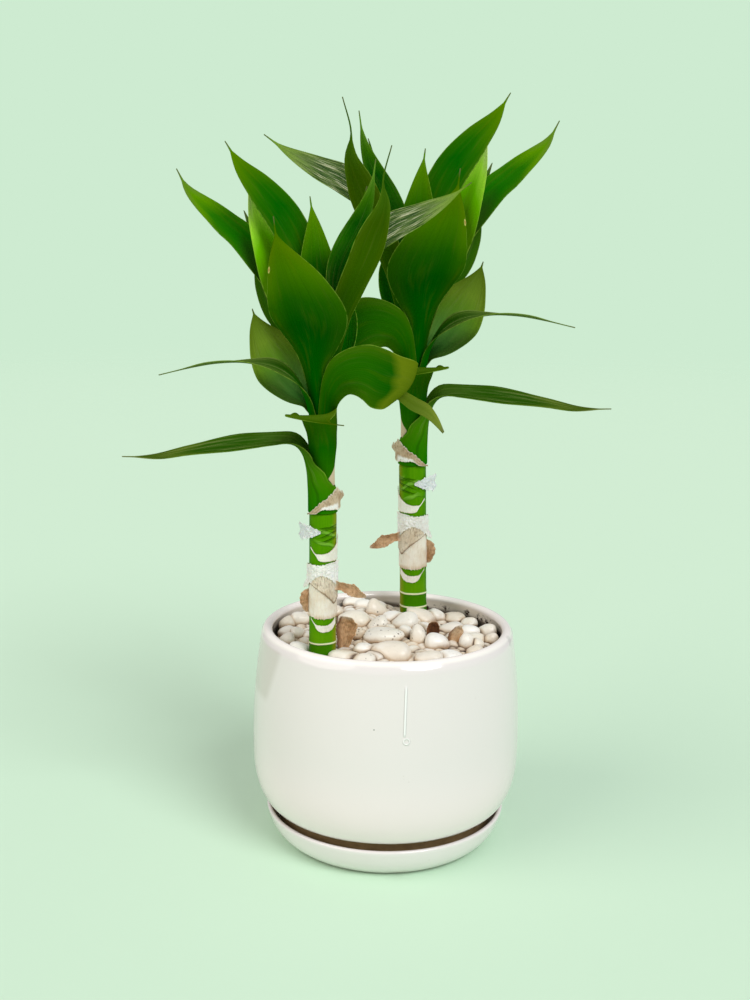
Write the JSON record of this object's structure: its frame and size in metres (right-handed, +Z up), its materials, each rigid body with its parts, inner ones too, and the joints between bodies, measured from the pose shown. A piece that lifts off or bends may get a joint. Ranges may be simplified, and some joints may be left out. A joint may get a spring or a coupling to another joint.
{
  "type": "potted lucky bamboo",
  "caption": "Lucky bamboo with leafy green canes in a round glazed pot with a matching saucer, topped with pale pebbles.",
  "frame": {"origin": "middle of the flat underside of the saucer, on the surface that the pot stands on", "axes": "+Z up along the pot's axis; -Y towards the side seen in the picture; +X to the right in it"},
  "size_m": [0.2799, 0.1765, 0.4417],
  "materials": {
    "glaze": "gloss",
    "soil": "matte",
    "pebble": "satin",
    "dry_leaf": "matte",
    "cane": "satin",
    "leaf": "satin",
    "husk": "matte"
  },
  "bodies": {
    "root": {"saucer": "glaze", "pot": "glaze", "soil": "soil", "pebbles": "pebble", "scrap_curl": "dry_leaf", "scrap_shred": "dry_leaf", "scrap_chip": "dry_leaf", "left_cane": "cane", "left_leaf_low_long": "leaf", "left_leaf_front_short": "leaf", "left_leaf_left_thin": "leaf", "left_leaf_right_arch": "leaf", "left_leaf_left_broad": "leaf", "left_leaf_front_big": "leaf", "left_leaf_spear_front": "leaf", "left_leaf_left_far": "leaf", "left_leaf_left_pale": "leaf", "left_leaf_back_left": "leaf", "left_leaf_back_high": "leaf", "left_leaf_right_streaked": "leaf", "left_leaf_back_mid": "leaf", "left_leaf_spear_back": "leaf", "left_leaf_heart": "leaf", "left_leaf_back_low": "leaf", "left_husk_upper": "husk", "left_husk_curl": "husk", "left_husk_crescent": "husk", "left_husk_collar": "husk", "left_husk_foot": "husk", "right_cane": "cane", "right_leaf_low_long": "leaf", "right_leaf_front_short": "leaf", "right_leaf_left_thin": "leaf", "right_leaf_right_arch": "leaf", "right_leaf_left_broad": "leaf", "right_leaf_front_big": "leaf", "right_leaf_spear_front": "leaf", "right_leaf_left_far": "leaf", "right_leaf_left_pale": "leaf", "right_leaf_back_left": "leaf", "right_leaf_back_high": "leaf", "right_leaf_right_streaked": "leaf", "right_leaf_back_mid": "leaf", "right_leaf_spear_back": "leaf", "right_leaf_heart": "leaf", "right_leaf_back_low": "leaf", "right_husk_upper": "husk", "right_husk_curl": "husk", "right_husk_crescent": "husk", "right_husk_collar": "husk", "right_husk_foot": "husk"}
  },
  "joints": []
}
